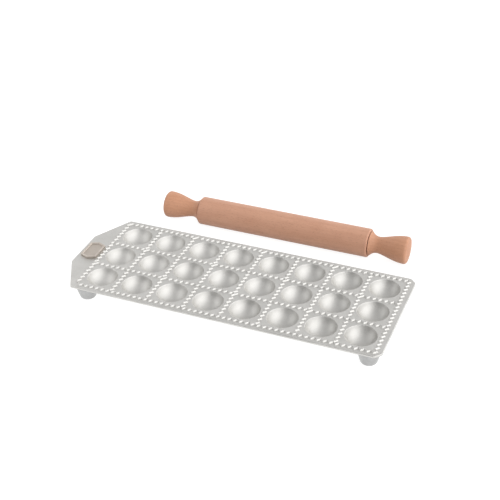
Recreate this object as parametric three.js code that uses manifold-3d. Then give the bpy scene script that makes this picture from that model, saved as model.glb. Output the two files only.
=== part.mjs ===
// Ravioli mould with its rolling pin.
// A cast tray stands on four feet. Round cups in a grid shape the filled dough, and zigzag ridges
// round every cup cut the parcels apart when the pin is rolled over them. The pin lies behind it.
// Millimetres, +Z up. The origin is on the table, under the middle of the set; the tab is at -X.

import * as THREE from 'three';
import { mergeVertices } from 'three/addons/utils/BufferGeometryUtils.js';
import Module from 'manifold-3d';

// Cell grid
const COLUMNS = 8;
const ROWS = 3;
const CELL_PITCH = 39;

// Cups, shallow caps of a ball
const CUP_RIM_RADIUS = 15.6;
const CUP_DEPTH = 11;
const CUP_WALL = 2;
const CUP_FLOOR_CLEARANCE = 5.9;

// Plate and its tab
const PLATE_THICKNESS = 2.3;
const EDGE_MARGIN = 5.6;
const END_MARGIN = 6.8;
const CORNER_CHAMFER = 6;
const CORNER_ROUND = 1.6;
const TAB_REACH = 24.7;
const TAB_FRONT_ROOT = 3.9;
const TAB_BACK_ROOT = 2;
const TAB_END_FRONT = 24.9;
const TAB_END_BACK = 23.8;

// Zigzag cutting ridges
const RIDGE_LEGS_PER_CELL = 13;
const RIDGE_HEIGHT = 1.3;
const RIDGE_BASE_WIDTH = 2;
const RIDGE_ROOT_DEPTH = 1;

// Feet and their screws
const FOOT_TOP_RADIUS = 12;
const FOOT_BOTTOM_RADIUS = 8.8;
const FOOT_EDGE_ROUND = 4.2;
const BOSS_OUTSIDE_RIM = 1.2;
const BOSS_RADIUS = 3.6;
const BOSS_HEIGHT = 6;
const SCREW_RADIUS = 1.75;
const SCREW_ENGAGEMENT = 4.2;
const SCREW_HEAD_RADIUS = 2.7;
const SCREW_HEAD_HEIGHT = 2;
const SCREW_SLOT_WIDTH = 1;
const SCREW_SLOT_LENGTH = 3.4;
const SCREW_SLOT_DEPTH = 1.1;
const HEAD_RECESS_DEPTH = 4;

// Badge and its clips
const BADGE_WIDTH = 17.4;
const BADGE_LENGTH = 28.6;
const BADGE_THICKNESS = 2.4;
const BADGE_POINT = 3.7;
const BADGE_RIM = 1.8;
const BADGE_FIELD_DEPTH = 0.9;
const BADGE_END_GAP = 3.8;
const BADGE_SHIFT = -1.5;
const STUD_RADIUS = 1.5;
const STUD_SPACING = 14;
const STUD_PROUD = 2.2;
const CLIP_RADIUS = 4.5;
const CLIP_THICKNESS = 0.7;

// Rolling pin
const BARREL_LENGTH = 194;
const BARREL_RADIUS = 15.3;
const BARREL_EDGE_ROUND = 1.6;
const HANDLE_LENGTH = 42.3;
const HANDLE_COLLAR_RADIUS = 13.4;
const HANDLE_NECK_RADIUS = 8.8;
const HANDLE_NECK_AT = 9;
const HANDLE_KNOB_RADIUS = 14.6;
const HANDLE_EDGE_ROUND = 2.8;
const HANDLE_END_RISE = 1.2;
const AXLE_RADIUS = 4;
const AXLE_SOCKET_DEPTH = 26;
const BUSH_LENGTH = 14;
const BUSH_WALL = 2.5;
const BUSH_FLANGE_RADIUS = 9;
const BUSH_FLANGE_THICKNESS = 1.6;
const BUSH_PROUD = 0.5;
const PIN_SHIFT = 0.9;
const PIN_GAP = 36.4;

// Clearances
const FIT_GAP = 0.3;
const CUT_OVERRUN = 1;

// Facets round a turn
const CUP_SIDES = 20;
const CUP_RINGS = 3;
const BOWL_SIDES = 16;
const BOWL_RINGS = 2;
const FOOT_SIDES = 24;
const SMALL_SIDES = 12;
const PIN_SIDES = 24;

// Places worked out from the sizes above
const FIELD_HALF_LENGTH = (COLUMNS * CELL_PITCH) / 2;
const FIELD_HALF_WIDTH = (ROWS * CELL_PITCH) / 2;
const PLATE_RIGHT = FIELD_HALF_LENGTH + END_MARGIN;
const PLATE_LEFT = -FIELD_HALF_LENGTH - TAB_REACH;
const PLATE_BACK = FIELD_HALF_WIDTH + EDGE_MARGIN;
const PLATE_TOP = CUP_FLOOR_CLEARANCE + CUP_WALL + CUP_DEPTH;
const PLATE_UNDERSIDE = PLATE_TOP - PLATE_THICKNESS;
const CUP_BALL_RADIUS = (CUP_RIM_RADIUS ** 2 + CUP_DEPTH ** 2) / (2 * CUP_DEPTH);
const CUP_BALL_HEIGHT = PLATE_TOP - CUP_DEPTH + CUP_BALL_RADIUS;
const PLATE_MIDDLE = (PLATE_UNDERSIDE + PLATE_TOP) / 2;
const CUP_ANGLE = Math.acos((CUP_BALL_HEIGHT - PLATE_TOP) / CUP_BALL_RADIUS);
const BOWL_ANGLE = Math.acos((CUP_BALL_HEIGHT - PLATE_MIDDLE) / (CUP_BALL_RADIUS + CUP_WALL));
const BOSS_BOTTOM = PLATE_UNDERSIDE - BOSS_HEIGHT;
const FOOT_INSET = CELL_PITCH / 2 - (CUP_RIM_RADIUS + BOSS_OUTSIDE_RIM) * Math.SQRT1_2;
const FOOT_X = FIELD_HALF_LENGTH - FOOT_INSET;
const FOOT_Y = FIELD_HALF_WIDTH - FOOT_INSET;
const BADGE_X = PLATE_LEFT + BADGE_END_GAP + BADGE_WIDTH / 2;
const PIN_Y = PLATE_BACK + PIN_GAP + BARREL_RADIUS;
const HANDLE_START = BARREL_LENGTH / 2 + BUSH_PROUD + FIT_GAP;
const AXLE_HALF_LENGTH = HANDLE_START + AXLE_SOCKET_DEPTH - FIT_GAP;

const wasm = await Module();
wasm.setup();

// A closed geometry as a solid that can be joined and cut.
function solidOf(geometry) {
  const bare = geometry.clone();
  bare.deleteAttribute('normal');
  bare.deleteAttribute('uv');
  const merged = mergeVertices(bare, 1e-4);
  const corners = merged.index.array;
  const triangles = [];
  for (let i = 0; i < corners.length; i += 3) {
    const [a, b, c] = [corners[i], corners[i + 1], corners[i + 2]];
    if (a !== b && b !== c && c !== a) triangles.push(a, b, c);
  }
  return new wasm.Manifold(new wasm.Mesh({
    numProp: 3,
    vertProperties: new Float32Array(merged.attributes.position.array),
    triVerts: new Uint32Array(triangles),
  }));
}

// A solid back as a geometry.
function geometryOf(solid) {
  const mesh = solid.getMesh();
  const geometry = new THREE.BufferGeometry();
  geometry.setAttribute('position', new THREE.BufferAttribute(mesh.vertProperties, 3));
  geometry.setIndex(new THREE.BufferAttribute(mesh.triVerts, 1));
  geometry.computeVertexNormals();
  return geometry;
}

// A body turned about +Z from a profile of [radius, height] points.
function turned(profile, sides) {
  const points = profile.map(([radius, height]) => new THREE.Vector2(radius, height));
  return new THREE.LatheGeometry(points, sides).rotateX(Math.PI / 2);
}

// A round bar or hole from one height to another.
function roundBar(radius, low, high, sides) {
  return turned([[0, low], [radius, low], [radius, high], [0, high]], sides);
}

// A flat outline with its corners rounded.
function roundedOutline(corners, radius) {
  const shape = new THREE.Shape();
  corners.forEach(([x, y], index) => {
    const corner = new THREE.Vector2(x, y);
    const before = new THREE.Vector2(...corners.at(index - 1));
    const after = new THREE.Vector2(...corners[(index + 1) % corners.length]);
    const start = before.sub(corner).setLength(Math.min(radius, before.length() / 2)).add(corner);
    const end = after.sub(corner).setLength(Math.min(radius, after.length() / 2)).add(corner);
    if (index === 0) shape.moveTo(start.x, start.y);
    else shape.lineTo(start.x, start.y);
    shape.quadraticCurveTo(corner.x, corner.y, end.x, end.y);
  });
  shape.closePath();
  return shape;
}

function slab(shape, low, high) {
  const settings = { depth: high - low, bevelEnabled: false, curveSegments: 3 };
  return new THREE.ExtrudeGeometry(shape, settings).translate(0, 0, low);
}

// A cap of the cup's ball, grown by an offset, out to an angle from its axis, then straight up.
function ballCap(offset, rimAngle, topHeight, sides, rings) {
  const radius = CUP_BALL_RADIUS + offset;
  const profile = [];
  for (let ring = 0; ring <= rings; ring += 1) {
    const angle = (rimAngle * ring) / rings;
    profile.push([radius * Math.sin(angle), CUP_BALL_HEIGHT - radius * Math.cos(angle)]);
  }
  profile.push([radius * Math.sin(rimAngle), topHeight], [0, topHeight]);
  return turned(profile, sides);
}

// One zigzag ridge along +X, a triangle in section, its legs at 45 degrees. The first leg is centred on
// the start and rises to +Y when rise is 1, so crossing ridges share a leg where they meet.
function zigzagRidge(cells, rise) {
  const leg = CELL_PITCH / RIDGE_LEGS_PER_CELL;
  const legs = RIDGE_LEGS_PER_CELL * cells + 1;
  const spread = (RIDGE_BASE_WIDTH * Math.SQRT1_2 * (RIDGE_HEIGHT + RIDGE_ROOT_DEPTH)) / RIDGE_HEIGHT;
  const positions = [];
  for (let bend = 0; bend <= legs; bend += 1) {
    const along = (bend - 0.5) * leg;
    const across = (bend % 2 === 0 ? -rise : rise) * (leg / 2);
    positions.push(along, across, RIDGE_HEIGHT);
    positions.push(along, across + spread, -RIDGE_ROOT_DEPTH);
    positions.push(along, across - spread, -RIDGE_ROOT_DEPTH);
  }
  const faces = [0, 1, 2];
  for (let bend = 0; bend < legs; bend += 1) {
    for (let side = 0; side < 3; side += 1) {
      const near = bend * 3 + side;
      const nearNext = bend * 3 + ((side + 1) % 3);
      faces.push(near, near + 3, nearNext, nearNext, near + 3, nearNext + 3);
    }
  }
  faces.push(legs * 3, legs * 3 + 2, legs * 3 + 1);
  const ridge = new THREE.BufferGeometry();
  ridge.setAttribute('position', new THREE.Float32BufferAttribute(positions, 3));
  ridge.setIndex(faces);
  return ridge;
}

// The corner signs where the feet stand, and the name of each corner.
const CORNERS = [
  ['front_left', -1, -1],
  ['front_right', 1, -1],
  ['back_left', -1, 1],
  ['back_right', 1, 1],
];

// The cup centres of the grid.
function cupCentres() {
  const centres = [];
  for (let column = 0; column < COLUMNS; column += 1) {
    for (let row = 0; row < ROWS; row += 1) {
      centres.push([
        (column + 0.5) * CELL_PITCH - FIELD_HALF_LENGTH,
        (row + 0.5) * CELL_PITCH - FIELD_HALF_WIDTH,
      ]);
    }
  }
  return centres;
}

function studPlaces() {
  return [-STUD_SPACING / 2, STUD_SPACING / 2].map((y) => [BADGE_X, BADGE_SHIFT + y]);
}

// The casting: plate, tab, cups, ridges and screw bosses.
function mouldPlate() {
  const outline = roundedOutline([
    [-FIELD_HALF_LENGTH - TAB_FRONT_ROOT, -PLATE_BACK],
    [PLATE_RIGHT - CORNER_CHAMFER, -PLATE_BACK],
    [PLATE_RIGHT, CORNER_CHAMFER - PLATE_BACK],
    [PLATE_RIGHT, PLATE_BACK - CORNER_CHAMFER],
    [PLATE_RIGHT - CORNER_CHAMFER, PLATE_BACK],
    [-FIELD_HALF_LENGTH - TAB_BACK_ROOT, PLATE_BACK],
    [PLATE_LEFT, TAB_END_BACK],
    [PLATE_LEFT, -TAB_END_FRONT],
  ], CORNER_ROUND);
  let casting = solidOf(slab(outline, PLATE_UNDERSIDE, PLATE_TOP));

  const bowl = solidOf(ballCap(CUP_WALL, BOWL_ANGLE, PLATE_MIDDLE, BOWL_SIDES, BOWL_RINGS));
  const aboveRidges = PLATE_TOP + RIDGE_HEIGHT + CUT_OVERRUN;
  const hollow = solidOf(ballCap(0, CUP_ANGLE, aboveRidges, CUP_SIDES, CUP_RINGS));
  const boss = solidOf(roundBar(BOSS_RADIUS, BOSS_BOTTOM, PLATE_MIDDLE, SMALL_SIDES));
  const pilotTop = BOSS_BOTTOM + SCREW_ENGAGEMENT + FIT_GAP;
  const pilot = solidOf(
    roundBar(SCREW_RADIUS + FIT_GAP, BOSS_BOTTOM - CUT_OVERRUN, pilotTop, SMALL_SIDES));
  const studHole = solidOf(roundBar(
    STUD_RADIUS + FIT_GAP, PLATE_UNDERSIDE - CUT_OVERRUN, PLATE_TOP + CUT_OVERRUN, SMALL_SIDES));

  for (const [x, y] of cupCentres()) casting = casting.add(bowl.translate([x, y, 0]));
  for (const [, sx, sy] of CORNERS) casting = casting.add(boss.translate([sx * FOOT_X, sy * FOOT_Y, 0]));
  for (let row = 0; row <= ROWS; row += 1) {
    const rise = (row * RIDGE_LEGS_PER_CELL) % 2 === 0 ? 1 : -1;
    const ridge = zigzagRidge(COLUMNS, rise);
    ridge.translate(-FIELD_HALF_LENGTH, row * CELL_PITCH - FIELD_HALF_WIDTH, PLATE_TOP);
    casting = casting.add(solidOf(ridge));
  }
  for (let column = 0; column <= COLUMNS; column += 1) {
    const rise = (column * RIDGE_LEGS_PER_CELL) % 2 === 0 ? -1 : 1;
    const ridge = zigzagRidge(ROWS, rise).rotateZ(Math.PI / 2);
    ridge.translate(column * CELL_PITCH - FIELD_HALF_LENGTH, -FIELD_HALF_WIDTH, PLATE_TOP);
    casting = casting.add(solidOf(ridge));
  }
  for (const [x, y] of cupCentres()) casting = casting.subtract(hollow.translate([x, y, 0]));
  for (const [, sx, sy] of CORNERS) {
    casting = casting.subtract(pilot.translate([sx * FOOT_X, sy * FOOT_Y, 0]));
  }
  for (const [x, y] of studPlaces()) casting = casting.subtract(studHole.translate([x, y, 0]));
  return geometryOf(casting);
}

// A tapered foot with a rounded lower edge, hollowed for the boss and notched to clear the corner cup.
function foot(sx, sy) {
  const profile = [[0, 0]];
  const steps = 3;
  for (let step = 0; step <= steps; step += 1) {
    const angle = (step / steps) * (Math.PI / 2);
    const reach = FOOT_BOTTOM_RADIUS - FOOT_EDGE_ROUND + FOOT_EDGE_ROUND * Math.sin(angle);
    profile.push([reach, FOOT_EDGE_ROUND * (1 - Math.cos(angle))]);
  }
  profile.push([FOOT_TOP_RADIUS, PLATE_UNDERSIDE], [0, PLATE_UNDERSIDE]);
  const above = PLATE_UNDERSIDE + CUT_OVERRUN;
  const bossPocket = roundBar(BOSS_RADIUS + FIT_GAP, BOSS_BOTTOM - FIT_GAP, above, SMALL_SIDES);
  const screwHole = roundBar(SCREW_RADIUS + FIT_GAP, 0, above, SMALL_SIDES);
  const headRecess = roundBar(SCREW_HEAD_RADIUS + FIT_GAP, -CUT_OVERRUN, HEAD_RECESS_DEPTH, SMALL_SIDES);
  const cupNotch = ballCap(CUP_WALL + FIT_GAP, BOWL_ANGLE, PLATE_TOP, BOWL_SIDES, BOWL_RINGS);
  cupNotch.translate(-sx * (CELL_PITCH / 2 - FOOT_INSET), -sy * (CELL_PITCH / 2 - FOOT_INSET), 0);
  const solid = solidOf(turned(profile, FOOT_SIDES))
    .subtract(solidOf(bossPocket))
    .subtract(solidOf(screwHole))
    .subtract(solidOf(headRecess))
    .subtract(solidOf(cupNotch));
  return geometryOf(solid);
}

// A pan-head screw, head down, with a cross recess in its head.
function footScrew() {
  const seat = HEAD_RECESS_DEPTH - FIT_GAP;
  const headBottom = seat - SCREW_HEAD_HEIGHT;
  const tip = BOSS_BOTTOM + SCREW_ENGAGEMENT;
  const body = solidOf(turned([
    [0, headBottom],
    [SCREW_HEAD_RADIUS * 0.7, headBottom],
    [SCREW_HEAD_RADIUS, headBottom + SCREW_HEAD_HEIGHT / 2],
    [SCREW_HEAD_RADIUS, seat],
    [SCREW_RADIUS, seat],
    [SCREW_RADIUS, tip - SCREW_RADIUS],
    [0, tip],
  ], SMALL_SIDES));
  const slotHeight = SCREW_SLOT_DEPTH + CUT_OVERRUN;
  const slotMiddle = headBottom + SCREW_SLOT_DEPTH - slotHeight / 2;
  const slot = new THREE.BoxGeometry(SCREW_SLOT_LENGTH, SCREW_SLOT_WIDTH, slotHeight);
  const crossSlot = new THREE.BoxGeometry(SCREW_SLOT_WIDTH, SCREW_SLOT_LENGTH, slotHeight);
  slot.translate(0, 0, slotMiddle);
  crossSlot.translate(0, 0, slotMiddle);
  return geometryOf(body.subtract(solidOf(slot)).subtract(solidOf(crossSlot)));
}

// A blank badge: a long six-sided plate, a raised rim round a sunk field, and two studs underneath.
function badge() {
  function hexagon(inset) {
    const half = BADGE_WIDTH / 2;
    const apex = BADGE_LENGTH / 2 - (inset * Math.hypot(half, BADGE_POINT)) / half;
    const side = apex - (BADGE_POINT * (half - inset)) / half;
    const x = half - inset;
    return new THREE.Shape([
      [0, -apex], [x, -side], [x, side], [0, apex], [-x, side], [-x, -side],
    ].map(([px, py]) => new THREE.Vector2(px, py)));
  }
  const top = PLATE_TOP + BADGE_THICKNESS;
  const plate = slab(hexagon(0), PLATE_TOP, top);
  const field = slab(hexagon(BADGE_RIM), top - BADGE_FIELD_DEPTH, top + CUT_OVERRUN);
  let solid = solidOf(plate).subtract(solidOf(field)).translate([BADGE_X, BADGE_SHIFT, 0]);
  const stud = solidOf(roundBar(
    STUD_RADIUS, PLATE_UNDERSIDE - STUD_PROUD, PLATE_TOP + BADGE_THICKNESS / 2, SMALL_SIDES));
  for (const [x, y] of studPlaces()) solid = solid.add(stud.translate([x, y, 0]));
  return geometryOf(solid);
}

// A push-on clip, a thin ring on a badge stud under the tab.
function badgeClip() {
  const inner = STUD_RADIUS + FIT_GAP;
  const [low, high] = [PLATE_UNDERSIDE - CLIP_THICKNESS, PLATE_UNDERSIDE];
  return turned([[inner, low], [CLIP_RADIUS, low], [CLIP_RADIUS, high], [inner, high], [inner, low]],
    SMALL_SIDES);
}

// The pin's pieces are turned about +Z here and laid along +X by their group.

// The barrel: a wooden roller bored for the rod, with a stepped seat for a bush in each end.
function pinBarrel() {
  const half = BARREL_LENGTH / 2;
  const bore = AXLE_RADIUS + BUSH_WALL / 2;
  const bushSeat = AXLE_RADIUS + FIT_GAP + BUSH_WALL + FIT_GAP;
  const flangeSeat = BUSH_FLANGE_RADIUS + FIT_GAP;
  const flangeDepth = BUSH_FLANGE_THICKNESS - BUSH_PROUD + FIT_GAP;
  const bushDepth = BUSH_LENGTH - BUSH_PROUD + FIT_GAP;
  const cut = BARREL_EDGE_ROUND;
  const soft = cut * (1 - Math.SQRT1_2);
  const upper = [
    [BARREL_RADIUS, half - cut],
    [BARREL_RADIUS - soft, half - soft],
    [BARREL_RADIUS - cut, half],
    [flangeSeat, half],
    [flangeSeat, half - flangeDepth],
    [bushSeat, half - flangeDepth],
    [bushSeat, half - bushDepth],
    [bore, half - bushDepth],
  ];
  const lower = upper.map(([radius, height]) => [radius, -height]).reverse();
  return turned([...upper, ...lower, upper[0]], PIN_SIDES);
}

// A flanged bush in the barrel's upper end, turning on the rod.
function pinBush() {
  const inner = AXLE_RADIUS + FIT_GAP;
  const outer = inner + BUSH_WALL;
  const face = BARREL_LENGTH / 2 + BUSH_PROUD;
  const shoulder = face - BUSH_FLANGE_THICKNESS;
  return turned([
    [inner, face - BUSH_LENGTH],
    [outer, face - BUSH_LENGTH],
    [outer, shoulder],
    [BUSH_FLANGE_RADIUS, shoulder],
    [BUSH_FLANGE_RADIUS, face],
    [inner, face],
    [inner, face - BUSH_LENGTH],
  ], PIN_SIDES);
}

// A knob handle on the upper end: a flared collar, a narrow neck and a long swelling to a rounded edge.
function pinHandle() {
  const neck = HANDLE_START + HANDLE_NECK_AT;
  const end = HANDLE_START + HANDLE_LENGTH;
  const knob = end - HANDLE_END_RISE - HANDLE_EDGE_ROUND;
  const socket = AXLE_RADIUS + FIT_GAP;
  const profile = [[socket, HANDLE_START], [HANDLE_COLLAR_RADIUS, HANDLE_START]];
  const collarSteps = 4;
  for (let step = 1; step <= collarSteps; step += 1) {
    const t = step / collarSteps;
    const flare = (1 - t) ** 2.4;
    const radius = HANDLE_NECK_RADIUS + (HANDLE_COLLAR_RADIUS - HANDLE_NECK_RADIUS) * flare;
    profile.push([radius, THREE.MathUtils.lerp(HANDLE_START, neck, t)]);
  }
  const swellSteps = 6;
  for (let step = 1; step <= swellSteps; step += 1) {
    const t = step / swellSteps;
    const swell = Math.sin((Math.PI / 2) * t) ** 1.4;
    const radius = THREE.MathUtils.lerp(HANDLE_NECK_RADIUS, HANDLE_KNOB_RADIUS, swell);
    profile.push([radius, THREE.MathUtils.lerp(neck, knob, t)]);
  }
  const edgeSteps = 3;
  for (let step = 1; step <= edgeSteps; step += 1) {
    const angle = (step / edgeSteps) * (Math.PI / 2);
    const radius = HANDLE_KNOB_RADIUS - HANDLE_EDGE_ROUND * (1 - Math.cos(angle));
    profile.push([radius, knob + HANDLE_EDGE_ROUND * Math.sin(angle)]);
  }
  const faceRadius = HANDLE_KNOB_RADIUS - HANDLE_EDGE_ROUND;
  profile.push([faceRadius / 2, end - HANDLE_END_RISE / 4]);
  profile.push([0, end], [0, HANDLE_START + AXLE_SOCKET_DEPTH]);
  profile.push([socket, HANDLE_START + AXLE_SOCKET_DEPTH], [socket, HANDLE_START]);
  return turned(profile, PIN_SIDES);
}

// Finishes
const castAluminium = { color: 0xc6c4bf, roughness: 0.45, metalness: 0.9 };
const footGrey = { color: 0xbcbec1, roughness: 0.3, metalness: 0.8 };
const steel = { color: 0xa9abad, roughness: 0.35, metalness: 1 };
const nickelBeige = { color: 0xd2c5ba, roughness: 0.4, metalness: 0.7 };
const beech = { color: 0xc0957e, roughness: 0.6, metalness: 0 };
const beechHandle = { color: 0xc29074, roughness: 0.6, metalness: 0 };
const nylon = { color: 0xe6e2d8, roughness: 0.5, metalness: 0 };

function piece(name, geometry, finish) {
  const mesh = new THREE.Mesh(geometry, new THREE.MeshStandardMaterial(finish));
  mesh.name = name;
  return mesh;
}

const mould = new THREE.Group();
mould.add(piece('mould_plate', mouldPlate(), castAluminium));
for (const [corner, sx, sy] of CORNERS) {
  const stand = piece(`foot_${corner}`, foot(sx, sy), footGrey);
  const screw = piece(`foot_screw_${corner}`, footScrew(), steel);
  stand.position.set(sx * FOOT_X, sy * FOOT_Y, 0);
  screw.position.copy(stand.position);
  mould.add(stand, screw);
}
mould.add(piece('badge', badge(), nickelBeige));
studPlaces().forEach(([x, y], index) => {
  const clip = piece(['badge_clip_front', 'badge_clip_back'][index], badgeClip(), steel);
  clip.position.set(x, y, 0);
  mould.add(clip);
});

const pin = new THREE.Group();
pin.add(piece('pin_barrel', pinBarrel(), beech));
pin.add(piece('pin_axle', roundBar(AXLE_RADIUS, -AXLE_HALF_LENGTH, AXLE_HALF_LENGTH, PIN_SIDES), steel));
for (const side of ['right', 'left']) {
  const end = new THREE.Group();
  if (side === 'left') end.rotation.x = Math.PI;
  end.add(piece(`pin_bush_${side}`, pinBush(), nylon));
  end.add(piece(`pin_handle_${side}`, pinHandle(), beechHandle));
  pin.add(end);
}
pin.rotation.y = Math.PI / 2;
pin.position.set(PIN_SHIFT, PIN_Y, BARREL_RADIUS);

// The whole set, centred over the origin.
const ravioliMould = new THREE.Group();
ravioliMould.add(mould, pin);
ravioliMould.position.x = -(PLATE_LEFT + PLATE_RIGHT) / 2;
ravioliMould.position.y = -(PIN_Y + BARREL_RADIUS - PLATE_BACK) / 2;

export default ravioliMould;
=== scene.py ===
import math
import bmesh
import bpy
from mathutils import Matrix, Vector


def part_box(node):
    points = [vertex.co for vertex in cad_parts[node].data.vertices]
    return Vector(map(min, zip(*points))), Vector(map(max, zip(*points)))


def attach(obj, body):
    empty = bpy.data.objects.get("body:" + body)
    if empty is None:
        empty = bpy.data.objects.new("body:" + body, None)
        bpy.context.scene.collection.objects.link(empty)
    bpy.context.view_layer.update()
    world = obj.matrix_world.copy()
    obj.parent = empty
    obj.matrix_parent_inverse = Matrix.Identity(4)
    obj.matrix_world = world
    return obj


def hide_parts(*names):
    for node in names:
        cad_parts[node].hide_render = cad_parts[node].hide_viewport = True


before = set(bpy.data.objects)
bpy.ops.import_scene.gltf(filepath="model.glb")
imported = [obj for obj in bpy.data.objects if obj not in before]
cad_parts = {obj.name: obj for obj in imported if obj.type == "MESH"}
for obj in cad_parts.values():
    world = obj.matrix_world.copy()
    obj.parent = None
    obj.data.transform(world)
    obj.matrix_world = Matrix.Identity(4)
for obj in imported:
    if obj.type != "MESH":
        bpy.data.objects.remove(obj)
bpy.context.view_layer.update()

# Mould casting
# One aluminium casting carries the plate, its tab, the cups and the ridges that cut the dough.
# It is die cast, trimmed round its edge, and blasted with fine grit to an even satin grey.
mm = 0.001
columns = 8
rows = 3
pitch = 39 * mm
cup_rim = 15.6 * mm
cup_depth = 11 * mm
cup_wall = 2 * mm
rim_ease = 0.5 * mm
plate_thickness = 2.3 * mm
edge_margin = 5.6 * mm
end_margin = 6.8 * mm
edge_ease = 0.55 * mm
corner_cut = 6 * mm
corner_round = 1.6 * mm
tab_front_root = 3.9 * mm
tab_back_root = 2 * mm
tab_end_front = 24.9 * mm
tab_end_back = 23.8 * mm
ridge_height = 1.3 * mm
ridge_width = 2 * mm
ridge_root = 1 * mm
ridge_dull = 0.3 * mm
legs_per_cell = 13
boss_radius = 3.6 * mm
boss_height = 6 * mm
screw_radius = 1.75 * mm
screw_engagement = 4.2 * mm
stud_radius = 1.5 * mm
fit_gap = 0.3 * mm
overrun = 1 * mm
corners = ("front_left", "front_right", "back_left", "back_right")
badge_clips = ("badge_clip_front", "badge_clip_back")

plate_low, plate_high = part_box("mould_plate")
plate_top = plate_high.z - ridge_height
plate_under = plate_top - plate_thickness
plate_middle = (plate_top + plate_under) / 2
field_left = plate_high.x - end_margin - columns * pitch
field_front = plate_low.y + edge_margin
tab_middle = (plate_low.y + plate_high.y) / 2
ball_radius = (cup_rim ** 2 + cup_depth ** 2) / (2 * cup_depth)
ball_height = plate_top - cup_depth + ball_radius
boss_bottom = plate_under - boss_height


def middle(node):
    """The place in plan of a CAD node's middle."""
    low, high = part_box(node)
    return ((low.x + high.x) / 2, (low.y + high.y) / 2, 0)


cup_places = [
    (field_left + (column + 0.5) * pitch, field_front + (row + 0.5) * pitch, 0)
    for column in range(columns)
    for row in range(rows)
]
foot_places = {corner: middle("foot_screw_" + corner) for corner in corners}
stud_places = [middle(clip) for clip in badge_clips]


def made_of(parts, kind):
    """The vertices, edges or faces among the parts that an operator gives back."""
    return [part for part in parts if isinstance(part, kind)]


def turned(profile, steps, closed=False):
    """A profile of radius and height points spun about +Z."""
    weld_distance = 1e-7
    shape = bmesh.new()
    points = [shape.verts.new((radius, 0, height)) for radius, height in profile]
    ends = points[1:] + points[:1] if closed else points[1:]
    lines = [shape.edges.new(pair) for pair in zip(points, ends)]
    bmesh.ops.spin(shape, geom=points + lines, axis=(0, 0, 1), cent=(0, 0, 0),
                   angle=math.tau, steps=steps, use_merge=True)
    bmesh.ops.remove_doubles(shape, verts=shape.verts, dist=weld_distance)
    bmesh.ops.recalc_face_normals(shape, faces=shape.faces)
    return shape


def repeated(shape, places):
    """Copies a shape to each place and takes the first one away."""
    first = shape.verts[:] + shape.edges[:] + shape.faces[:]
    for place in places:
        copy = bmesh.ops.duplicate(shape, geom=first)["geom"]
        bmesh.ops.translate(shape, vec=place, verts=made_of(copy, bmesh.types.BMVert))
    bmesh.ops.delete(shape, geom=made_of(first, bmesh.types.BMVert), context="VERTS")
    return shape


def piece(name, *shapes):
    """An object at the origin from one or more shapes."""
    whole = bmesh.new()
    for shape in shapes:
        mesh = bpy.data.meshes.new(name)
        shape.to_mesh(mesh)
        shape.free()
        whole.from_mesh(mesh)
        bpy.data.meshes.remove(mesh)
    mesh = bpy.data.meshes.new(name)
    whole.to_mesh(mesh)
    whole.free()
    made = bpy.data.objects.new(name, mesh)
    bpy.context.scene.collection.objects.link(made)
    return made


def combine(body, *steps):
    """Joins tools to a body or cuts them out of it, in order, and takes the tools away."""
    for operation, tool in steps:
        change = body.modifiers.new(tool.name, "BOOLEAN")
        change.operation = operation
        change.solver = "MANIFOLD"
        change.object = tool
    graph = bpy.context.evaluated_depsgraph_get()
    finished = bpy.data.meshes.new_from_object(body.evaluated_get(graph))
    body.modifiers.clear()
    body.data = finished
    for _, tool in steps:
        bpy.data.objects.remove(tool)
    return body


def shade(body, sharp_angle, crisp_above=1, crisp_angle=0):
    """Clears slivers and shades smooth, with turns over an angle and rims of level faces kept sharp.

    Above a height, a smaller angle is enough.
    """
    sliver_length = 1e-6
    level_from = 0.99999
    shape = bmesh.new()
    shape.from_mesh(body.data)
    bmesh.ops.dissolve_degenerate(shape, edges=shape.edges, dist=sliver_length)
    for face in shape.faces:
        face.smooth = True
    for edge in shape.edges:
        level = [abs(face.normal.z) > level_from for face in edge.link_faces]
        turn = edge.calc_face_angle(0)
        top = max(vert.co.z for vert in edge.verts)
        limit = crisp_angle if top > crisp_above else sharp_angle
        edge.smooth = turn < limit and all(level) == any(level)
    shape.to_mesh(body.data)
    shape.free()


def flat_plate(outline, low, high, corner, ease, corner_steps):
    """A plate from its outline's corners, which are rounded, as are its upper and lower edges."""
    shape = bmesh.new()
    shape.faces.new([shape.verts.new((x, y, low)) for x, y in outline])
    if corner:
        bmesh.ops.bevel(shape, geom=shape.verts[:], offset=corner, affect="VERTICES",
                        segments=corner_steps, profile=0.5, material=-1)
    raised = bmesh.ops.extrude_face_region(shape, geom=shape.faces[:])["geom"]
    bmesh.ops.translate(shape, vec=(0, 0, high - low), verts=made_of(raised, bmesh.types.BMVert))
    bmesh.ops.recalc_face_normals(shape, faces=shape.faces)
    rims = [edge for edge in shape.edges if edge.verts[0].co.z == edge.verts[1].co.z]
    bmesh.ops.bevel(shape, geom=rims, offset=ease, affect="EDGES",
                    segments=3, profile=0.5, material=-1)
    return shape


def ball_profile(grow, rim_angle, steps):
    """Points up the side of the cup's ball, grown by a wall, from its lowest point."""
    radius = ball_radius + grow
    angles = [rim_angle * step / steps for step in range(steps + 1)]
    return [(radius * math.sin(angle), ball_height - radius * math.cos(angle)) for angle in angles]


def bowl_shape(grow, top):
    """The outside of a cup under the plate, straight up to a height inside it."""
    rim_angle = math.acos((ball_height - plate_middle) / (ball_radius + cup_wall))
    side = ball_profile(grow, rim_angle, steps=10)
    return turned(side + [(side[-1][0], top), (0, top)], steps=48)


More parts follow.
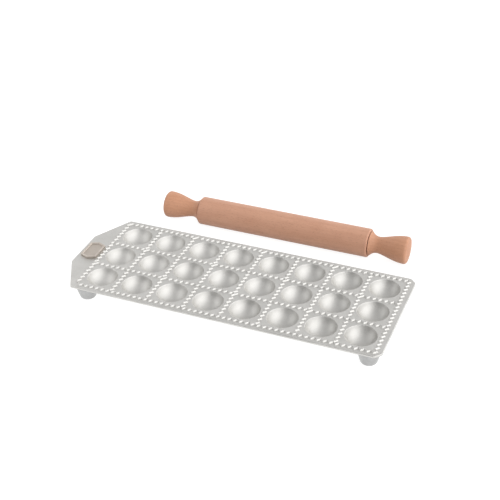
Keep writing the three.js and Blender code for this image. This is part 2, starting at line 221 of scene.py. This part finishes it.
def cup_cutter():
    """The inside of a cup, with its rim eased into the plate's face."""
    centre_height = plate_top - rim_ease
    reach = ball_radius + rim_ease
    rim_angle = math.acos((ball_height - centre_height) / reach)
    rim_centre = reach * math.sin(rim_angle)
    ease_steps = 4
    turns = [rim_angle * (1 - step / ease_steps) for step in range(1, ease_steps + 1)]
    ease = [(rim_centre - rim_ease * math.sin(turn), centre_height + rim_ease * math.cos(turn))
            for turn in turns]
    above = plate_high.z + overrun
    profile = ball_profile(0, rim_angle, steps=14) + ease + [(rim_centre, above), (0, above)]
    return turned(profile, steps=64)


def bar(radius, low, high):
    """A round bar or a drill from one height to another."""
    return turned([(0, low), (radius, low), (radius, high), (0, high)], steps=32)


def zigzag(cells, rise, skipped):
    """A ridge along +X with a dulled crest, carried leg by leg at 45 degrees after any legs skipped."""
    leg = pitch / legs_per_cell
    slope = ridge_width * math.sqrt(0.5) / ridge_height
    root_reach = slope * (ridge_height + ridge_root)
    shoulder = ridge_height - ridge_dull / slope
    crown = ridge_height - ridge_dull / slope / 6
    section = [
        (root_reach, -ridge_root),
        (ridge_dull, shoulder),
        (ridge_dull / 2, crown),
        (-ridge_dull / 2, crown),
        (-ridge_dull, shoulder),
        (-root_reach, -ridge_root),
    ]
    # Each leg is a soft bend, a straight run and a soft bend: shares of the leg along and across.
    bends = ((0.16, 0.07), (0.68, 0.68), (0.16, 0.07))
    half_sway = 0.41
    shape = bmesh.new()
    first = rise * (-1) ** skipped
    begin = leg * (skipped - 0.5)
    offset = first * leg * half_sway
    start = [shape.verts.new((begin, across - offset, up)) for across, up in section]
    front = [shape.faces.new(start)]
    for step in range(len(bends) * (legs_per_cell * cells + 1 - skipped)):
        bend = step % len(bends)
        way = first if step // len(bends) % 2 == 0 else -first
        moved = bmesh.ops.extrude_face_region(shape, geom=front)["geom"]
        if step > 0:
            bmesh.ops.delete(shape, geom=front, context="FACES_ONLY")
        front = made_of(moved, bmesh.types.BMFace)
        ahead, aside = bends[bend]
        move = (leg * ahead, way * leg * aside, 0)
        bmesh.ops.translate(shape, vec=move, verts=made_of(moved, bmesh.types.BMVert))
    bmesh.ops.recalc_face_normals(shape, faces=shape.faces)
    return shape


plate_outline = [
    (field_left - tab_front_root, plate_low.y),
    (plate_high.x - corner_cut, plate_low.y),
    (plate_high.x, plate_low.y + corner_cut),
    (plate_high.x, plate_high.y - corner_cut),
    (plate_high.x - corner_cut, plate_high.y),
    (field_left - tab_back_root, plate_high.y),
    (plate_low.x, tab_middle + tab_end_back),
    (plate_low.x, tab_middle - tab_end_front),
]

# The two ridges that meet at the front left corner start one leg later than the others.
long_ridges = []
for row in range(rows + 1):
    ridge = zigzag(columns, 1 if row % 2 == 0 else -1, 1 if row == 0 else 0)
    ridge_start = (field_left, field_front + row * pitch, plate_top)
    bmesh.ops.translate(ridge, vec=ridge_start, verts=ridge.verts)
    long_ridges.append(ridge)
cross_ridges = []
quarter_turn = Matrix.Rotation(math.pi / 2, 3, "Z")
for column in range(columns + 1):
    ridge = zigzag(rows, -1 if column % 2 == 0 else 1, 1 if column == 0 else 0)
    ridge_start = (field_left + column * pitch, field_front, plate_top)
    bmesh.ops.rotate(ridge, cent=(0, 0, 0), matrix=quarter_turn, verts=ridge.verts)
    bmesh.ops.translate(ridge, vec=ridge_start, verts=ridge.verts)
    cross_ridges.append(ridge)
pilot_top = boss_bottom + screw_engagement + fit_gap
blank = flat_plate(plate_outline, plate_under, plate_top, corner_round, edge_ease, corner_steps=6)
bosses = repeated(bar(boss_radius, boss_bottom, plate_middle), foot_places.values())
casting = combine(
    piece("mould_casting", blank),
    ("UNION", piece("bowls", repeated(bowl_shape(cup_wall, plate_middle), cup_places))),
    ("UNION", piece("bosses", bosses)),
    ("UNION", piece("long_ridges", *long_ridges)),
    ("UNION", piece("cross_ridges", *cross_ridges)),
    ("DIFFERENCE", piece("cups", repeated(cup_cutter(), cup_places))),
    ("DIFFERENCE", piece(
        "holes",
        repeated(bar(screw_radius + fit_gap, boss_bottom - overrun, pilot_top), foot_places.values()),
        repeated(bar(stud_radius + fit_gap, plate_under - overrun, plate_top + overrun), stud_places))),
)
ridge_foot = plate_top + 0.1 * mm
shade(casting, math.radians(32), crisp_above=ridge_foot, crisp_angle=math.radians(8))


class Wire:
    """One output in a finish. Arithmetic on it adds Math nodes."""

    def __init__(self, finish, socket):
        self.finish = finish
        self.socket = socket

    def math(self, operation, *values):
        return self.finish.node("Math", {"operation": operation}, dict(enumerate(values)))

    def __add__(self, other):
        return self.math("ADD", self, other)

    def __sub__(self, other):
        return self.math("SUBTRACT", self, other)

    def __rsub__(self, other):
        return self.math("SUBTRACT", other, self)

    def __mul__(self, other):
        return self.math("MULTIPLY", self, other)

    __radd__ = __add__
    __rmul__ = __mul__

    def ramp(self, low, high):
        """0 below low, 1 above high, and smooth between them."""
        settings = {"interpolation_type": "SMOOTHSTEP"}
        return self.finish.node("MapRange", settings, {0: self, 1: low, 2: high})


class Nodes:
    """A node tree that is added to a node at a time."""

    def __init__(self, tree):
        self.tree = tree

    def node(self, kind, settings, sockets, output=0):
        """Adds a node: its settings first, then the values or wires of its sockets."""
        made = self.tree.nodes.new("ShaderNode" + kind)
        for name, value in settings.items():
            setattr(made, name, value)
        for name, value in sockets.items():
            self.feed(made.inputs[name], value)
        return Wire(self, made.outputs[output])

    def feed(self, socket, value):
        if isinstance(value, Wire):
            self.tree.links.new(value.socket, socket)
        else:
            socket.default_value = value


class Finish(Nodes):
    """A procedural material for one kind of surface."""

    def __init__(self, name, **constants):
        self.material = bpy.data.materials.new(name)
        self.material.use_nodes = True
        super().__init__(self.material.node_tree)
        self.shader = self.tree.nodes["Principled BSDF"]
        self.set(**constants)

    def set(self, **values):
        """Gives the shader's sockets a value or a wire each."""
        for name, value in values.items():
            socket = name.replace("_", " ").title().replace("Ior", "IOR")
            self.feed(self.shader.inputs[socket], value)

    def place(self, centre=(0, 0, 0), stretch=(1, 1, 1)):
        """Object coordinates about a centre, stretched."""
        at = self.node("TexCoord", {}, {}, "Object")
        away = self.node("VectorMath", {"operation": "SUBTRACT"}, {0: at, 1: centre})
        return self.node("Mapping", {}, {"Vector": away, "Scale": stretch})

    def axis(self, where, name):
        return self.node("SeparateXYZ", {}, {0: where}, name)

    def noise(self, where, scale, detail, roughness):
        sockets = {"Vector": where, "Scale": scale, "Detail": detail, "Roughness": roughness}
        return self.node("TexNoise", {}, sockets)

    def mix(self, amount, first, second):
        """A colour between two others. Sockets 6 and 7 and output 2 are the Mix node's colours."""
        return self.node("Mix", {"data_type": "RGBA"}, {0: amount, 6: first, 7: second}, 2)

    def bump(self, height, distance, strength):
        sockets = {"Height": height, "Distance": distance, "Strength": strength}
        return self.node("Bump", {}, sockets)

    def cover(self, *bodies):
        for body in bodies:
            body.data.materials.clear()
            body.data.materials.append(self.material)


blasted = Finish("blasted_aluminium", metallic=1)
where = blasted.place()
grit = blasted.noise(where, 1500, 3, 0.6)
cloud = blasted.noise(where, 55, 3, 0.55)
crest = blasted.axis(where, "Z").ramp(plate_top + 0.6 * ridge_height, plate_high.z)
skin = blasted.mix(cloud.ramp(0.3, 0.7), (0.64, 0.63, 0.607, 1), (0.694, 0.684, 0.662, 1))
speck = grit.ramp(0.35, 0.65) * 0.16 * (1 - crest)
skin = blasted.mix(speck, skin, (0.367, 0.361, 0.35, 1))
blasted.set(
    base_color=blasted.mix(crest * 0.5, skin, (0.755, 0.75, 0.739, 1)),
    roughness=0.49 + (cloud - 0.5) * 0.12 - crest * 0.1,
    normal=blasted.bump(grit, 0.12 * mm, 0.55),
)
blasted.cover(casting)
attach(casting, "mould")
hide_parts("mould_plate")

# Feet
# Four tapered feet turned smooth from aluminium and rounded at the lower edge. Each is hollowed for
# the casting's boss, notched where the corner cup passes it, and held by a screw from below.
foot_top_radius = 12 * mm
foot_bottom_radius = 8.8 * mm
foot_round = 4.2 * mm
foot_top_ease = 0.5 * mm
head_radius = 2.7 * mm
recess_depth = 4 * mm
recess_ease = 0.3 * mm


def quarter(radius, height, ease, start, end, steps):
    """Points round an eased corner, as radius and height, with angles from straight down."""
    angles = [math.radians(start + (end - start) * step / steps) for step in range(steps + 1)]
    return [(radius + ease * math.sin(angle), height - ease * math.cos(angle)) for angle in angles]


recess_radius = head_radius + fit_gap
lean = math.degrees(math.atan2(foot_top_radius - foot_bottom_radius, plate_under - foot_round))
foot_profile = (
    quarter(recess_radius + recess_ease, recess_ease, recess_ease, -90, 0, 3)
    + quarter(foot_bottom_radius - foot_round, foot_round, foot_round, 0, 90 - lean, 8)
    + quarter(foot_top_radius - foot_top_ease, plate_under - foot_top_ease, foot_top_ease,
              90 - lean, 180, 4)
    + [
        (boss_radius + fit_gap, plate_under),
        (boss_radius + fit_gap, boss_bottom - fit_gap),
        (screw_radius + fit_gap, boss_bottom - fit_gap),
        (screw_radius + fit_gap, recess_depth),
        (recess_radius, recess_depth),
    ]
)
feet = []
for corner, place in foot_places.items():
    shape = turned(foot_profile, steps=72, closed=True)
    bmesh.ops.translate(shape, vec=place, verts=shape.verts)
    beside = min(cup_places, key=lambda cup: math.dist(cup, place))
    notch = repeated(bowl_shape(cup_wall + fit_gap, plate_top), [beside])
    stand = combine(piece("turned_foot_" + corner, shape), ("DIFFERENCE", piece("notch", notch)))
    shade(stand, math.radians(40))
    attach(stand, "mould")
    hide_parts("foot_" + corner)
    feet.append(stand)

smooth_turned = Finish("turned_aluminium", metallic=1)
where = smooth_turned.place()
haze = smooth_turned.noise(where, 220, 3, 0.5)
lathe = smooth_turned.noise(smooth_turned.place(stretch=(20, 20, 2600)), 1, 2, 0.5)
smooth_turned.set(
    base_color=smooth_turned.mix(haze.ramp(0.3, 0.7), (0.4, 0.4, 0.396, 1), (0.445, 0.445, 0.441, 1)),
    roughness=0.2 + (haze - 0.5) * 0.1,
    normal=smooth_turned.bump(lathe, 0.02 * mm, 0.4),
)
smooth_turned.cover(*feet)

# Foot screws
# Plated steel pan-head screws with a cross recess, turned and thread-forming, driven up through the
# feet into the bosses of the casting.
head_height = 2 * mm
head_seat = recess_depth - fit_gap
head_bottom = head_seat - head_height
screw_tip = boss_bottom + screw_engagement
recess_length = 3.4 * mm
recess_width = 1 * mm
cross_depth = 1.1 * mm
thread_pitch = 0.9 * mm
thread_depth = 0.22 * mm
plain_shank = 1.2 * mm
head_fullness = 0.6

head_dome = []
for angle in range(0, 90, 9):
    lift = math.radians(angle)
    drop = head_height * math.cos(lift) ** head_fullness
    head_dome.append((head_radius * math.sin(lift), head_seat - drop))
shank = []
thread_start = head_seat + plain_shank
thread_end = screw_tip - screw_radius
turns = int((thread_end - thread_start) / thread_pitch)
for turn in range(turns):
    shank.append((screw_radius - thread_depth, thread_start + turn * thread_pitch))
    shank.append((screw_radius, thread_start + (turn + 0.5) * thread_pitch))
screw_profile = (
    head_dome
    + [(head_radius, head_seat), (screw_radius, head_seat)]
    + [(screw_radius, thread_start - thread_pitch / 2)]
    + shank
    + [(screw_radius - thread_depth, thread_end), (0, screw_tip)]
)
screws = []
for corner, place in foot_places.items():
    shape = turned(screw_profile, steps=40)
    bmesh.ops.translate(shape, vec=place, verts=shape.verts)
    slots = []
    for long_side, short_side in ((recess_length, recess_width), (recess_width, recess_length)):
        slot = bmesh.new()
        bmesh.ops.create_cube(slot, size=1)
        bmesh.ops.scale(slot, vec=(long_side, short_side, 2 * cross_depth), verts=slot.verts)
        bmesh.ops.translate(slot, vec=(place[0], place[1], head_bottom), verts=slot.verts)
        slots.append(piece("slot", slot))
    screw = combine(piece("cross_screw_" + corner, shape), *[("DIFFERENCE", slot) for slot in slots])
    shade(screw, math.radians(35))
    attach(screw, "mould")
    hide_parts("foot_screw_" + corner)
    screws.append(screw)

plated = Finish("plated_steel", metallic=1)
where = plated.place()
tarnish = plated.noise(where, 420, 4, 0.6)
plated.set(
    base_color=plated.mix(tarnish.ramp(0.3, 0.75), (0.6, 0.6, 0.59, 1), (0.42, 0.42, 0.42, 1)),
    roughness=0.26 + tarnish * 0.16,
    normal=plated.bump(tarnish, 0.02 * mm, 0.4),
)
plated.cover(*screws)

# Badge
# A small blank six-sided plate of warm satin nickel with a raised rim round a sunk field.
# It is die cast with two studs, which go through the tab.
badge_point = 3.7 * mm
badge_rim = 1.8 * mm
badge_sink = 0.9 * mm
badge_ease = 0.3 * mm
field_wall = 0.25 * mm
lip_ease = 0.1 * mm
stud_root = 0.5 * mm
badge_low, badge_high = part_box("badge")
badge_x = (badge_low.x + badge_high.x) / 2

badge_outline = [
    (badge_x, badge_low.y),
    (badge_high.x, badge_low.y + badge_point),
    (badge_high.x, badge_high.y - badge_point),
    (badge_x, badge_high.y),
    (badge_low.x, badge_high.y - badge_point),
    (badge_low.x, badge_low.y + badge_point),
]
shape = flat_plate(badge_outline, plate_top, badge_high.z, corner=0, ease=badge_ease, corner_steps=1)
face = max(shape.faces, key=lambda face: face.calc_center_median().z)
bmesh.ops.inset_region(shape, faces=[face], thickness=badge_rim - badge_ease, use_even_offset=True)
wall = bmesh.ops.inset_region(shape, faces=[face], thickness=field_wall, use_even_offset=True)["faces"]
bmesh.ops.translate(shape, vec=(0, 0, -badge_sink), verts=face.verts)
lips = [
    edge for side in wall for edge in side.edges
    if len({round(vert.co.z, 7) for vert in edge.verts}) == 1
]
bmesh.ops.bevel(shape, geom=list(set(lips)), offset=lip_ease, affect="EDGES",
                segments=2, profile=0.5, material=-1)
studs = repeated(bar(stud_radius, badge_low.z, plate_top + stud_root), stud_places)
badge = combine(piece("badge_blank", shape), ("UNION", piece("studs", studs)))
shade(badge, math.radians(30))

warm_nickel = Finish("warm_nickel", metallic=1)
where = warm_nickel.place()
pebble = warm_nickel.noise(where, 1800, 2, 0.5)
patina = warm_nickel.noise(where, 160, 3, 0.6)
sunk_below = badge_high.z - 0.8 * badge_sink
raised_above = badge_high.z - 0.2 * badge_sink
field_mask = 1 - warm_nickel.axis(where, "Z").ramp(sunk_below, raised_above)
skin = warm_nickel.mix(patina.ramp(0.3, 0.7), (0.585, 0.525, 0.47, 1), (0.65, 0.59, 0.53, 1))
warm_nickel.set(
    base_color=warm_nickel.mix(field_mask * 0.35, skin, (0.43, 0.38, 0.335, 1)),
    roughness=0.34 + field_mask * 0.14 + (patina - 0.5) * 0.1,
    normal=warm_nickel.bump(pebble * field_mask, 0.06 * mm, 0.5),
)
warm_nickel.cover(badge)
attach(badge, "mould")
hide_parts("badge")

# Badge clips
# Two push-on clips of thin plated spring steel, pressed on the badge's studs under the tab.
clip_radius = 4.5 * mm
clip_thickness = 0.7 * mm
clip_ease = 0.2 * mm
bite_rise = 0.1 * mm
bite_reach = 0.9 * mm
step_reach = 1.2 * mm
step_rise = 0.15 * mm
clip_hole = stud_radius + fit_gap
clip_low = plate_under - clip_thickness
clip_profile = (
    [(clip_hole, plate_under), (clip_hole, clip_low + bite_rise), (clip_hole + bite_reach, clip_low)]
    + [(clip_hole + step_reach, clip_low + step_rise)]
    + quarter(clip_radius - clip_ease, clip_low + step_rise + clip_ease, clip_ease, 0, 90, 3)
    + [(clip_radius, plate_under)]
)
for node, place in zip(badge_clips, stud_places):
    shape = turned(clip_profile, steps=48, closed=True)
    bmesh.ops.translate(shape, vec=place, verts=shape.verts)
    clip = piece(node.replace("badge", "push_on"), shape)
    shade(clip, math.radians(35))
    plated.cover(clip)
    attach(clip, "mould")
    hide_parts(node)

# Pin rod
# A plain ground steel rod through the barrel, with its chamfered ends glued in the handles.
barrel_low, barrel_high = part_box("pin_barrel")
pin_middle = (barrel_low + barrel_high) / 2
barrel_half = (barrel_high.x - barrel_low.x) / 2
rod_radius = 4 * mm
rod_chamfer = 0.6 * mm
rod_low, rod_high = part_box("pin_axle")
rod_half = (rod_high.x - rod_low.x) / 2


def laid(shape, mirrored=False):
    """Lays a shape turned about +Z along the pin's line, or the other way along it."""
    turn = Matrix.Rotation(-math.pi / 2 if mirrored else math.pi / 2, 3, "Y")
    bmesh.ops.rotate(shape, cent=(0, 0, 0), matrix=turn, verts=shape.verts)
    bmesh.ops.translate(shape, vec=pin_middle, verts=shape.verts)
    return shape


rod_profile = [
    (0, -rod_half),
    (rod_radius - rod_chamfer, -rod_half),
    (rod_radius, rod_chamfer - rod_half),
    (rod_radius, rod_half - rod_chamfer),
    (rod_radius - rod_chamfer, rod_half),
    (0, rod_half),
]
rod = piece("pin_rod", laid(turned(rod_profile, steps=48)))
shade(rod, math.radians(30))
plated.cover(rod)
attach(rod, "pin_frame")
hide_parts("pin_axle")

# Bushes
# Two moulded nylon bushes with a flange, pushed in the ends of the barrel. They turn on the rod.
bush_length = 14 * mm
bush_wall = 2.5 * mm
flange_radius = 9 * mm
flange_thickness = 1.6 * mm
bush_proud = 0.5 * mm
bush_ease = 0.3 * mm
bush_inner = rod_radius + fit_gap
bush_outer = bush_inner + bush_wall
bush_face = barrel_half + bush_proud
bush_profile = (
    [(bush_inner, bush_face - bush_length), (bush_outer - bush_ease, bush_face - bush_length)]
    + [(bush_outer, bush_face - bush_length + bush_ease), (bush_outer, bush_face - flange_thickness)]
    + [(flange_radius, bush_face - flange_thickness)]
    + quarter(flange_radius - bush_ease, bush_face - bush_ease, bush_ease, 90, 180, 3)
    + [(bush_inner, bush_face)]
)
bushes = []
for side in ("left", "right"):
    shape = turned(bush_profile, steps=64, closed=True)
    bush = piece("nylon_bush_" + side, laid(shape, mirrored=side == "left"))
    shade(bush, math.radians(30))
    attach(bush, "pin_roller")
    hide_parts("pin_bush_" + side)
    bushes.append(bush)

nylon = Finish("moulded_nylon", subsurface_weight=0.05, ior=1.53)
where = nylon.place()
haze = nylon.noise(where, 300, 3, 0.5)
nylon.set(
    base_color=nylon.mix(haze.ramp(0.3, 0.7), (0.74, 0.71, 0.63, 1), (0.8, 0.775, 0.7, 1)),
    roughness=0.42 + haze * 0.12,
    normal=nylon.bump(haze, 0.03 * mm, 0.3),
)
nylon.cover(*bushes)

# Barrel
# The roller of the pin, turned from one length of steamed beech, sanded and left bare. Its ends are
# bored for the bushes and its edges are softened.
barrel_round = 1.6 * mm
barrel_radius = (barrel_high.z - barrel_low.z) / 2
flange_depth = flange_thickness - bush_proud + fit_gap
bush_depth = bush_length - bush_proud + fit_gap
rod_bore = rod_radius + bush_wall / 2
barrel_edge = quarter(barrel_radius - barrel_round, barrel_half - barrel_round, barrel_round, 90, 180, 8)
end_profile = barrel_edge + [
    (flange_radius + fit_gap, barrel_half),
    (flange_radius + fit_gap, barrel_half - flange_depth),
    (bush_outer + fit_gap, barrel_half - flange_depth),
    (bush_outer + fit_gap, barrel_half - bush_depth),
    (rod_bore, barrel_half - bush_depth),
]
barrel_profile = end_profile + [(radius, -along) for radius, along in reversed(end_profile)]
barrel = piece("beech_barrel", laid(turned(barrel_profile, steps=128, closed=True)))
shade(barrel, math.radians(32))


class Beech(Finish):
    """Steamed beech with its grain along X: faint growth rings, fibres and short dark flecks."""

    def __init__(self, name, pith, pale, dark, fleck):
        super().__init__(name, ior=1.5)
        ring_spacing = 3.4 * mm
        ring_wander = 6 * mm
        along = self.place(pin_middle)
        wander = self.grain((9, 40, 40), detail=2, roughness=0.5)
        across = self.axis(along, "Y") - pith[0]
        upward = self.axis(along, "Z") - pith[1]
        radius = across.math("SQRT", across * across + upward * upward) + wander * ring_wander
        phase = radius * (math.tau / ring_spacing)
        ring = phase.math("SINE", phase) * 0.5 + 0.5
        fibre = self.grain((45, 900, 900), detail=3, roughness=0.6)
        blotch = self.grain((22, 70, 70), detail=3, roughness=0.55)
        dash = self.grain((330, 2100, 2100), detail=1, roughness=0.4)
        tone = 0.5 * blotch.ramp(0.28, 0.72) + 0.2 * ring + 0.3 * fibre.ramp(0.3, 0.7)
        wood = self.mix(tone, pale, dark)
        flecks = dash.ramp(0.6, 0.72) * 0.4
        self.set(
            base_color=self.mix(flecks, wood, fleck),
            roughness=0.45 + fibre * 0.16,
            normal=self.bump(fibre * 0.7 - flecks * 0.6, 0.08 * mm, 0.35),
        )

    def grain(self, stretch, detail, roughness):
        """Noise drawn out along the pin."""
        return self.noise(self.place(pin_middle, stretch), 1, detail, roughness)


barrel_beech = Beech(
    "barrel_beech",
    pith=(0.05, -0.035),
    pale=(0.654, 0.358, 0.239, 1),
    dark=(0.557, 0.283, 0.181, 1),
    fleck=(0.3, 0.148, 0.09, 1),
)
barrel_beech.cover(barrel)
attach(barrel, "pin_roller")
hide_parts("pin_barrel")

# Handles
# Two knobs turned from redder beech: a flared collar beside the barrel, a narrow neck and a long
# swelling to the rounded end. Each is bored and glued on the rod.
handle_low, handle_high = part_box("pin_handle_right")
handle_start = handle_low.x - pin_middle.x
handle_end = handle_high.x - pin_middle.x
collar_radius = 13.4 * mm
collar_ease = 0.35 * mm
collar_length = 9 * mm
collar_flare = 2.4
neck_radius = 8.8 * mm
neck_at = handle_start + collar_length
swell_fullness = 1.4
knob_radius = 14.6 * mm
knob_round = 2.8 * mm
dome_rise = 1.2 * mm
shoulder_at = handle_end - dome_rise
knob_at = shoulder_at - knob_round
dome_radius = knob_radius - knob_round
socket_depth = 26 * mm
socket_radius = rod_radius + fit_gap

collar_steps = 14
collar = []
for step in range(1, collar_steps + 1):
    share = step / collar_steps
    radius = neck_radius + (collar_radius - neck_radius) * (1 - share) ** collar_flare
    collar.append((radius, handle_start + (neck_at - handle_start) * share))
swell_steps = 24
swelling = []
for step in range(1, swell_steps + 1):
    share = step / swell_steps
    radius = neck_radius + (knob_radius - neck_radius) * math.sin(math.pi / 2 * share) ** swell_fullness
    swelling.append((radius, neck_at + (knob_at - neck_at) * share))
knob_edge = quarter(dome_radius, knob_at, knob_round, 90, 180, 8)[1:]
dome_steps = 8
end_dome = []
for step in range(1, dome_steps + 1):
    share = step / dome_steps
    end_dome.append((dome_radius * (1 - share), shoulder_at + dome_rise * (1 - (1 - share) ** 2)))
handle_profile = (
    [(socket_radius, handle_start), (collar_radius - collar_ease, handle_start)]
    + collar
    + swelling
    + knob_edge
    + end_dome
    + [(0, handle_start + socket_depth), (socket_radius, handle_start + socket_depth)]
)
handles = []
for side in ("left", "right"):
    shape = turned(handle_profile, steps=96, closed=True)
    handle = piece("beech_handle_" + side, laid(shape, mirrored=side == "left"))
    shade(handle, math.radians(40))
    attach(handle, "pin_frame")
    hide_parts("pin_handle_" + side)
    handles.append(handle)

handle_beech = Beech(
    "handle_beech",
    pith=(-0.03, -0.04),
    pale=(0.646, 0.332, 0.204, 1),
    dark=(0.528, 0.253, 0.144, 1),
    fleck=(0.282, 0.131, 0.08, 1),
)
handle_beech.cover(*handles)

# Table
# A plain white table top under the set, wide enough to be the whole background. The camera and the
# metal both see it as a white sweep that keeps the object's faint shadow.
table_size = 60
table_shape = bmesh.new()
bmesh.ops.create_grid(table_shape, x_segments=1, y_segments=1, size=table_size / 2)
table = piece("table_top", table_shape)

white = Finish("white_table")
sight = white.node("LightPath", {}, {}, "Is Camera Ray")
for ray in ("Is Glossy Ray", "Is Transmission Ray"):
    sight = sight.math("MAXIMUM", sight, white.node("LightPath", {}, {}, ray))


def top_look(glow, grey):
    """A look of the table: a level of its own white, and a matt grey that takes the shadow."""
    own = white.node("Emission", {}, {"Color": (glow, glow, glow, 1), "Strength": 1})
    matt = white.node("BsdfDiffuse", {}, {"Color": (grey, grey, grey, 1)})
    return white.node("AddShader", {}, {0: own, 1: matt})


paint = white.node("BsdfDiffuse", {}, {"Color": (0.58, 0.58, 0.58, 1)})
sweep = top_look(glow=0.88, grey=0.32)
surface = white.node("MixShader", {}, {0: sight, 1: paint, 2: sweep})
white.feed(white.tree.nodes["Material Output"].inputs["Surface"], surface)
white.cover(table)

# Light
# A plain white studio: one broad soft light fills the right-hand side, the left is dimmer, above all
# towards the camera and at the far left, and a pale wall stands low behind. Two soft boxes add to it.
surround = bpy.data.worlds.new("white_surround")
surround.use_nodes = True
bpy.context.scene.world = surround
sky = Nodes(surround.node_tree)
facing = sky.node("TexCoord", {}, {}, "Generated")
to_right, to_back, upward = [sky.node("SeparateXYZ", {}, {0: facing}, axis) for axis in "XYZ"]
front_level = 0.52
back_level = 0.73
wall_level = 1.21
right_level = 1.77
dimming = 0.8
lit = front_level + (back_level - front_level) * to_back.ramp(-0.74, 1.28)
wall = (1 - upward.ramp(0.26, 0.74)) * to_back.ramp(-0.5, 0.56)
lit = lit + wall * (wall_level - lit)
far_left = (1 - to_right.ramp(-0.97, -0.72)) * (1 - upward.ramp(0.3, 0.65))
low_front = (1 - to_back.ramp(-0.8, -0.2)) * (1 - upward.ramp(0.2, 0.7))
lit = lit * (1 - dimming * far_left) * (1 - dimming * low_front)
lit = lit + to_right.ramp(-0.02, 0.62) * (right_level - lit)
backdrop = surround.node_tree.nodes["Background"]
backdrop.inputs["Color"].default_value = (1, 1, 1, 1)
sky.feed(backdrop.inputs["Strength"], lit)


def soft_box(name, place, target, width, height, power):
    """A rectangular soft light that faces a target."""
    lamp = bpy.data.lights.new(name, "AREA")
    lamp.shape = "RECTANGLE"
    lamp.size = width
    lamp.size_y = height
    lamp.energy = power
    made = bpy.data.objects.new(name, lamp)
    aim = Vector(target) - Vector(place)
    made.location = place
    made.rotation_euler = aim.to_track_quat("-Z", "Y").to_euler()
    bpy.context.scene.collection.objects.link(made)


soft_box("left_box", (-0.42, -0.12, 0.21), (-0.1, 0, 0), width=0.5, height=0.4, power=0.52)
soft_box("right_box", (0.9, -0.2, 0.55), (0, 0, 0), width=1.2, height=1, power=0.9)

# Camera
# A long lens from the front right, as in the photograph, rolled by two degrees.
camera_data = bpy.data.cameras.new("camera")
camera_data.sensor_width = 36
camera_data.lens = 77.035
camera = bpy.data.objects.new("camera", camera_data)
view_right = Vector((0.92480, 0.37932, -0.02919)).normalized()
view_ahead = Vector((-0.32862, 0.75782, -0.56366)).normalized()
view_up = view_right.cross(view_ahead)
turn = Matrix((view_right, view_up, -view_ahead)).transposed()
stand_point = Vector((field_left + 0.50874, field_front - 0.73112, plate_top + 0.629175))
camera.matrix_world = Matrix.Translation(stand_point) @ turn.to_4x4()
bpy.context.scene.collection.objects.link(camera)
bpy.context.scene.camera = camera
bpy.context.scene.view_settings.view_transform = "Standard"
